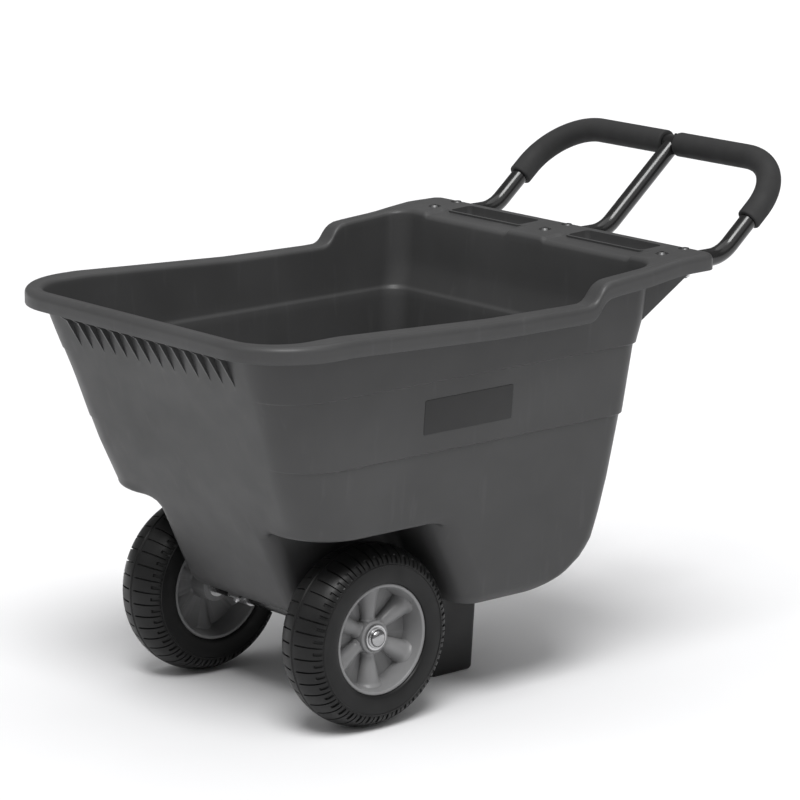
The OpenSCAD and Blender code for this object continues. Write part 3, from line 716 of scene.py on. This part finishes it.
def make_wheel(side, name):
    """A wheel's barrel, web, spokes and hub as one moulding with a bore for its bush."""
    wheel = wheel_barrel(side)
    boolean(wheel, wheel_web(side), "UNION")
    # Neighbouring spokes cross near the hub, so every second one is joined at a time.
    turn_each = 2 * math.pi / SPOKE_COUNT
    for first in (0, 1):
        spokes = [spoke(side, turn_each * i) for i in range(first, SPOKE_COUNT, 2)]
        boolean(wheel, joined("spokes", spokes), "UNION")
    boolean(wheel, wheel_hub(side), "UNION")
    bore = spun("bore", [(0.5, -60), (BUSH_R, -60), (BUSH_R, 60), (0.5, 60)], side, 96, WHEEL_X)
    boolean(wheel, bore, "DIFFERENCE")
    wheel.name = name
    return shade(wheel, 38)


def make_hub_cap(side, name):
    """A pressed cap: a flat collar, a groove and a domed middle."""
    x = cap_low.x
    high = cap_high.x - x
    dome_r, dome_start = 11.7, 3.4
    face = [(6.2, 0), (13.6, 0), (14, 0.4), (14, 1.7), (13.6, 2.1), (12.4, 2.2), (11.9, 2.6),
            (dome_r, dome_start)]
    for a in np.radians(np.linspace(12, 88, 9)):
        face.append((dome_r * math.cos(a) ** 0.8, dome_start + (high - dome_start) * math.sin(a)))
    face += [(0.05, high), (0.05, 5.6), (6.2, 5.4)]
    return shade(spun(name, face, side, 64, x), 30)


# ---- Handle ----
RISE = math.radians(39.5)
RISE_Y = FRONT_Y + 850.0
LOW_BEND_R = 60.0
TOP_BEND_R = 87.0
TUBE_START_Y = FRONT_Y + 714.0
GRIP_R = 17.5
BAR_V = (grip_high.y - GRIP_R - RISE_Y) / math.cos(RISE)
GRIP_START_V = 68.0
GRIP_GAP = 26.0
UP_SLOPE = np.array([0, math.cos(RISE), math.sin(RISE)])


def slope_point(x, v):
    """A point in the handle's sloping plane."""
    return np.array([x, RISE_Y, TUBE_Z]) + v * UP_SLOPE


def low_points(x):
    """From a tube's start under the flange to the end of its bend behind the tub."""
    points = [np.array([x, y, TUBE_Z]) for y in np.linspace(TUBE_START_Y, FRONT_Y + 824, 5)]
    tangent = LOW_BEND_R * math.tan(RISE / 2)
    for a in np.linspace(0, RISE, 12):
        points.append(np.array([x, RISE_Y - tangent + LOW_BEND_R * math.sin(a),
                                TUBE_Z + LOW_BEND_R * (1 - math.cos(a))]))
    return points


def corner_points(side, n=24):
    """The bend at a top corner, from its leg to the top bar."""
    points = []
    for a in np.radians(np.linspace(0, 90, n + 1)):
        points.append(slope_point(side * (LEG_X - TOP_BEND_R * (1 - math.cos(a))),
                                  BAR_V - TOP_BEND_R * (1 - math.sin(a))))
    return points


def swept(name, route, outline, sides=48):
    """A hollow solid along a route.

    The outline is its inner radius and rows of (distance from an end, outer radius).
    """
    route = np.array(route)
    steps = np.linalg.norm(np.diff(route, axis=0), axis=1)
    length = np.concatenate([[0], np.cumsum(steps)])
    total = length[-1]
    inner_r, end_rows = outline
    places = sorted({*[e for e, _ in end_rows], *[total - e for e, _ in end_rows], *length[1:-1]})
    places = [p for p in places if 0 <= p <= total]
    middles = np.column_stack([np.interp(places, length, route[:, k]) for k in range(3)])
    tangents = np.gradient(middles, np.array(places), axis=0)
    tangents /= np.linalg.norm(tangents, axis=1)[:, None]
    outer, inner = [], []
    side_way = np.cross(tangents[0], [1.0, 0.0, 0.0])
    if np.linalg.norm(side_way) < 0.1:
        side_way = np.cross(tangents[0], [0.0, 0.0, 1.0])
    angles = np.linspace(0, 2 * math.pi, sides, endpoint=False)
    for place, middle, tangent in zip(places, middles, tangents):
        side_way = side_way - tangent * np.dot(side_way, tangent)
        side_way /= np.linalg.norm(side_way)
        other = np.cross(tangent, side_way)
        from_end = min(place, total - place)
        radius = np.interp(from_end, [e for e, _ in end_rows], [r for _, r in end_rows])
        circle = np.outer(np.cos(angles), side_way) + np.outer(np.sin(angles), other)
        outer.append(middle + radius * circle)
        inner.append(middle + inner_r * circle)
    rings = outer + inner[::-1]
    faces = grid_faces(len(rings), sides, close_rows=True)
    return shade(mesh_object(name, np.concatenate(rings), faces), 35)


TUBE_ENDS = (11.0, [(0, 12.2), (0.4, 12.5), (2, 12.5)])
GRIP_ENDS = (12.6, [(0, 15.6), (0.5, 16.6), (1.4, 17.2), (2.6, 17.5), (4, 17.5)])


def make_handle_frame():
    """The bent outer tube: both legs and the top bar in one."""
    left = low_points(-LEG_X) + corner_points(-1)
    right = low_points(LEG_X) + corner_points(1)
    return swept("handle_tube", left + right[::-1], TUBE_ENDS)


def make_centre_tube():
    """The middle tube, from the flange up to the top bar."""
    route = low_points(0) + [slope_point(0, v) for v in np.linspace(30, BAR_V - 6.5, 9)]
    return swept("handle_centre_tube", route, TUBE_ENDS)


def make_grip(side, name):
    """A foam sleeve along a leg's end, round the corner and along half of the top bar."""
    route = [slope_point(side * LEG_X, v) for v in np.linspace(GRIP_START_V, BAR_V - TOP_BEND_R - 4, 10)]
    route += corner_points(side, 28)
    route += [slope_point(side * x, BAR_V) for x in np.linspace(LEG_X - TOP_BEND_R - 4, GRIP_GAP / 2, 16)]
    return swept(name, route, GRIP_ENDS, 64)


# ---- Foot and label ----
FOOT_HALF_X, FOOT_HALF_Y = 78.0, 38.0
FOOT_COLLAR = 1.2


def make_foot():
    """A tapering foot with rounded corners and sole, and a slight collar under the floor."""
    centre = (foot_low + foot_high) / 2
    high_x = (foot_high.x - foot_low.x) / 2 - FOOT_COLLAR
    high_y = (foot_high.y - foot_low.y) / 2 - FOOT_COLLAR
    top = foot_high.z
    rings = []
    rows = [(z, 6 - math.sqrt(max(36 - (6 - z) ** 2, 0))) for z in (0, 0.3, 0.9, 1.8, 3, 4.5, 6)]
    rows += [(z, 0) for z in (20, 45, 70, 95, 120, top - 7)]
    rows += [(top - 6.4, -0.9), (top - 5, -FOOT_COLLAR), (top, -FOOT_COLLAR)]
    for z, inset in rows:
        share = z / top
        half_x = FOOT_HALF_X + (high_x - FOOT_HALF_X) * share - inset
        half_y = FOOT_HALF_Y + (high_y - FOOT_HALF_Y) * share - inset
        plan = rounded_rectangle(half_x, half_y, max(9 - inset, 3), 8)
        rings.append(np.column_stack([plan[:, 0] + centre.x, plan[:, 1] + centre.y, np.full(len(plan), z)]))
    return shade(capped_stack("foot", rings), 35)


def make_label():
    """A thin blank plate with rounded corners, lying on the sloping side wall."""
    half = Vector(((label_high.y - label_low.y) / 2, (label_high.z - label_low.z) / 2))
    middle = (label_low + label_high) / 2
    lean = (label_high.x - label_low.x - 0.4) / (label_high.z - label_low.z)
    rings = []
    for inset, out in ((0, -0.2), (0, 0.15), (0.25, 0.35), (0.8, 0.42)):
        plan = rounded_rectangle(half.x - inset, half.y - inset, max(2.5 - inset, 1), 5)
        rings.append(np.column_stack([middle.x + lean * plan[:, 1] + out, middle.y + plan[:, 0],
                                      middle.z + plan[:, 1]]))
    return shade(capped_stack("label_plate", rings), 30)


# ---- Materials ----
def grey(value):
    """A grey with a trace of blue."""
    return (value, value, value * 1.01, 1)


def node_material(name):
    """A new material with its tree, its shader and the coordinates of the piece that it is on."""
    material = bpy.data.materials.new(name)
    material.use_nodes = True
    tree = material.node_tree
    shader = tree.nodes["Principled BSDF"]
    place = tree.nodes.new("ShaderNodeTexCoord")
    return material, tree, shader, place.outputs["Object"]


def noise(tree, place, scale, detail=3.0, stretch=None):
    """A noise pattern in the object's own space, with an optional stretch."""
    made = tree.nodes.new("ShaderNodeTexNoise")
    made.inputs["Scale"].default_value = scale
    made.inputs["Detail"].default_value = detail
    if stretch:
        mapping = tree.nodes.new("ShaderNodeMapping")
        mapping.inputs["Scale"].default_value = stretch
        tree.links.new(place, mapping.inputs["Vector"])
        place = mapping.outputs["Vector"]
    tree.links.new(place, made.inputs["Vector"])
    return made.outputs["Fac"]


def ramp(tree, source, low, high, from_low=0.3, from_high=0.7):
    """A value mapped to a range."""
    made = tree.nodes.new("ShaderNodeMapRange")
    made.inputs["From Min"].default_value = from_low
    made.inputs["From Max"].default_value = from_high
    made.inputs["To Min"].default_value = low
    made.inputs["To Max"].default_value = high
    tree.links.new(source, made.inputs["Value"])
    return made.outputs["Result"]


def mix_colour(tree, factor, first, second):
    """Two colours mixed by a value; either may be a colour or another node's output."""
    made = tree.nodes.new("ShaderNodeMix")
    made.data_type = "RGBA"
    tree.links.new(factor, made.inputs["Factor"])
    for value, socket in ((first, made.inputs[6]), (second, made.inputs[7])):
        if isinstance(value, tuple):
            socket.default_value = value
        else:
            tree.links.new(value, socket)
    return made.outputs[2]


def bump(tree, height, strength, distance, under=None):
    """A normal raised by a height, on top of another normal if there is one."""
    made = tree.nodes.new("ShaderNodeBump")
    made.inputs["Strength"].default_value = strength
    made.inputs["Distance"].default_value = distance
    tree.links.new(height, made.inputs["Height"])
    if under is not None:
        tree.links.new(under, made.inputs["Normal"])
    return made.outputs["Normal"]


def edge_wear(tree, low=0.51, high=0.6):
    """A mask of the surface's outward edges."""
    geometry = tree.nodes.new("ShaderNodeNewGeometry")
    return ramp(tree, geometry.outputs["Pointiness"], 0, 1, low, high)


def plastic(name, tone, rough=0.45, spread=0.12, grain=900, relief=0.06, wear=0.25, specular=0.4):
    """Moulded plastic: soft cloudy tone, faint scuffs, a fine grain and lighter worn edges."""
    material, tree, shader, place = node_material(name)
    cloud = noise(tree, place, 6, 4)
    base = mix_colour(tree, ramp(tree, cloud, 0, 1), grey(tone * (1 - spread)), grey(tone * (1 + spread)))
    scuffs = noise(tree, place, 60, 5, (1, 1, 0.12))
    marks = ramp(tree, scuffs, 0, 0.35, 0.6, 0.75)
    base = mix_colour(tree, marks, base, grey(tone * 1.5))
    worn = ramp(tree, edge_wear(tree), 0, wear, 0, 1)
    base = mix_colour(tree, worn, base, grey(tone * 2.2))
    tree.links.new(base, shader.inputs["Base Color"])
    fine = noise(tree, place, grain, 2)
    rough_out = ramp(tree, noise(tree, place, 25, 5), rough - 0.05, rough + 0.07)
    tree.links.new(rough_out, shader.inputs["Roughness"])
    shader.inputs["Specular IOR Level"].default_value = specular
    normal = bump(tree, fine, relief, 0.0004)
    wave = noise(tree, place, 9, 2)
    normal = bump(tree, wave, 0.05, 0.004, normal)
    tree.links.new(normal, shader.inputs["Normal"])
    return material


def rubber(name, tone, grain=700, rough=0.62, relief=0.12, dust=0.25):
    """Matt rubber with a fine grain and pale dust in patches."""
    material, tree, shader, place = node_material(name)
    patches = ramp(tree, noise(tree, place, 18, 6), 0, dust, 0.52, 0.75)
    base = mix_colour(tree, patches, grey(tone), grey(tone * 2.6))
    tree.links.new(base, shader.inputs["Base Color"])
    rough_out = ramp(tree, noise(tree, place, 40, 4), rough - 0.08, rough + 0.1)
    tree.links.new(rough_out, shader.inputs["Roughness"])
    shader.inputs["Specular IOR Level"].default_value = 0.28
    tree.links.new(bump(tree, noise(tree, place, grain, 3), relief, 0.0005), shader.inputs["Normal"])
    return material


def painted_steel(name, tone):
    """Gloss black powder coat with a slight orange-peel."""
    material, tree, shader, place = node_material(name)
    cloud = ramp(tree, noise(tree, place, 30, 4), 0, 1)
    base = mix_colour(tree, cloud, grey(tone * 0.8), grey(tone * 1.3))
    tree.links.new(base, shader.inputs["Base Color"])
    tree.links.new(ramp(tree, noise(tree, place, 50, 3), 0.16, 0.26), shader.inputs["Roughness"])
    shader.inputs["Coat Weight"].default_value = 0.15
    shader.inputs["Coat Roughness"].default_value = 0.12
    tree.links.new(bump(tree, noise(tree, place, 420, 2), 0.05, 0.0006), shader.inputs["Normal"])
    return material


def metal(name, tone, rough):
    """Plated steel with fine marks."""
    material, tree, shader, place = node_material(name)
    cloud = ramp(tree, noise(tree, place, 90, 5), 0, 1)
    base = mix_colour(tree, cloud, grey(tone * 0.82), grey(tone))
    tree.links.new(base, shader.inputs["Base Color"])
    shader.inputs["Metallic"].default_value = 1.0
    marks = noise(tree, place, 300, 4)
    tree.links.new(ramp(tree, marks, rough - 0.06, rough + 0.1), shader.inputs["Roughness"])
    tree.links.new(bump(tree, marks, 0.05, 0.0003), shader.inputs["Normal"])
    return material


# ---- Stage ----
AIM = Vector((0.0125, -0.0459, 0.3858))
CAMERA_DISTANCE = 5.75
CAMERA_AZIMUTH = math.radians(49.43)
CAMERA_ELEVATION = math.radians(13.03)
LENS = 187.8
FLOOR_HALF = 14.0


def from_angles(a, e):
    """The direction from the cart towards an azimuth and elevation."""
    return Vector((math.sin(a) * math.cos(e), -math.cos(a) * math.cos(e), math.sin(e)))


def add_camera():
    """A long lens from the front right, looking slightly down into the tub."""
    back = from_angles(CAMERA_AZIMUTH, CAMERA_ELEVATION)
    data = bpy.data.cameras.new("camera")
    data.lens = LENS
    data.sensor_width = 36
    data.clip_end = 100
    camera = bpy.data.objects.new("camera", data)
    camera.location = AIM + back * CAMERA_DISTANCE
    camera.rotation_mode = "QUATERNION"
    camera.rotation_quaternion = (-back).to_track_quat("-Z", "Y")
    bpy.context.scene.collection.objects.link(camera)
    bpy.context.scene.camera = camera


def add_sun(name, azimuth, elevation, strength, angle):
    """A soft light from a direction round the object, in the same angles as the camera's."""
    data = bpy.data.lights.new(name, "SUN")
    data.energy = strength
    data.angle = math.radians(angle)
    lamp = bpy.data.objects.new(name, data)
    back = from_angles(math.radians(azimuth), math.radians(elevation))
    lamp.rotation_mode = "QUATERNION"
    lamp.rotation_quaternion = (-back).to_track_quat("-Z", "Y")
    bpy.context.scene.collection.objects.link(lamp)


def add_world():
    """White to the camera, and dimmer as a light, so that the suns give the form."""
    world = bpy.data.worlds.new("world")
    bpy.context.scene.world = world
    world.use_nodes = True
    tree = world.node_tree
    path = tree.nodes.new("ShaderNodeLightPath")
    strength = tree.nodes.new("ShaderNodeMapRange")
    strength.inputs["To Min"].default_value = 0.22
    strength.inputs["To Max"].default_value = 1.0
    tree.links.new(path.outputs["Is Camera Ray"], strength.inputs["Value"])
    tree.nodes["Background"].inputs["Color"].default_value = (1, 1, 1, 1)
    tree.links.new(strength.outputs["Result"], tree.nodes["Background"].inputs["Strength"])


def add_floor():
    """A plain pale floor."""
    mesh = bpy.data.meshes.new("floor")
    corners = [(FLOOR_HALF * x, FLOOR_HALF * y, 0) for x, y in ((-1, -1), (1, -1), (1, 1), (-1, 1))]
    mesh.from_pydata(corners, [], [(0, 1, 2, 3)])
    floor = new_object("floor", mesh)
    material, tree, shader, place = node_material("floor_paint")
    tone = mix_colour(tree, ramp(tree, noise(tree, place, 1.5, 3), 0, 1), grey(0.86), grey(0.89))
    tree.links.new(tone, shader.inputs["Base Color"])
    shader.inputs["Roughness"].default_value = 0.9
    shader.inputs["Specular IOR Level"].default_value = 0.1
    floor.data.materials.append(material)


def main():
    """Stage, materials, pieces, and the looks of the CAD nodes that are kept."""
    bpy.context.scene.view_settings.view_transform = "Standard"
    add_camera()
    add_world()
    add_sun("key", 48, 62, 2.5, 30)
    add_sun("left", -20, 45, 0.35, 50)
    add_sun("right", 100, 42, 0.35, 50)
    add_sun("top", 200, 76, 0.6, 50)
    add_floor()

    tub_plastic = plastic("tub_plastic_look", 0.056, rough=0.4, specular=0.28)
    wheel_plastic = plastic("wheel_plastic_look", 0.2, rough=0.34, wear=0.1)
    foot_plastic = plastic("foot_plastic_look", 0.012, rough=0.5)
    label_film = plastic("label_film_look", 0.01, rough=0.35, wear=0.1)
    tyre_rubber = rubber("tyre_rubber_look", 0.008, rough=0.42, dust=0.12)
    grip_foam = rubber("grip_foam_look", 0.03, grain=420, rough=0.75, relief=0.3, dust=0.1)
    black_paint = painted_steel("black_paint_look", 0.008)
    zinc = metal("zinc_look", 0.6, 0.3)
    dull_steel = metal("dull_steel_look", 0.16, 0.42)
    bright = metal("bright_look", 0.42, 0.2)

    dress(make_tub(), tub_plastic, "cart", "tub_plastic", "tub")
    dress(make_label(), label_film, "cart", "label", "side_label")
    dress(make_foot(), foot_plastic, "cart", "foot_plastic", "rear_foot")
    dress(make_handle_frame(), black_paint, "cart", "black_tube", "handle_frame")
    dress(make_centre_tube(), black_paint, "cart", "black_tube", "centre_tube")
    for side, word in ((-1, "left"), (1, "right")):
        body = "wheel_" + word
        dress(make_grip(side, "foam_grip_" + word), grip_foam, "cart", "grip_foam", "grip_" + word)
        dress(make_tyre(side, "tyre_tread_" + word), tyre_rubber, body, "tyre_rubber", "tyre_" + word)
        dress(make_wheel(side, "wheel_" + word + "_moulding"), wheel_plastic, body, "rim_plastic",
              "wheel_rim_" + word)
        dress(make_hub_cap(side, "axle_cap_" + word), bright, "cart", "bright_cap", "hub_cap_" + word)

    looks = {"foot_screws": zinc, "centre_bolt": zinc, "centre_insert": zinc, "handle_bolts": dull_steel,
             "handle_washers": zinc, "handle_nuts": zinc, "tube_plugs": foot_plastic, "axle": zinc,
             "axle_tube": black_paint, "axle_straps": zinc, "strap_bolts": zinc, "strap_nuts": zinc,
             "inner_washers": zinc, "outer_washers": zinc, "hub_bush_left": foot_plastic,
             "hub_bush_right": foot_plastic}
    for node, material in looks.items():
        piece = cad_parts[node]
        piece.data.materials.clear()
        piece.data.materials.append(material)


main()
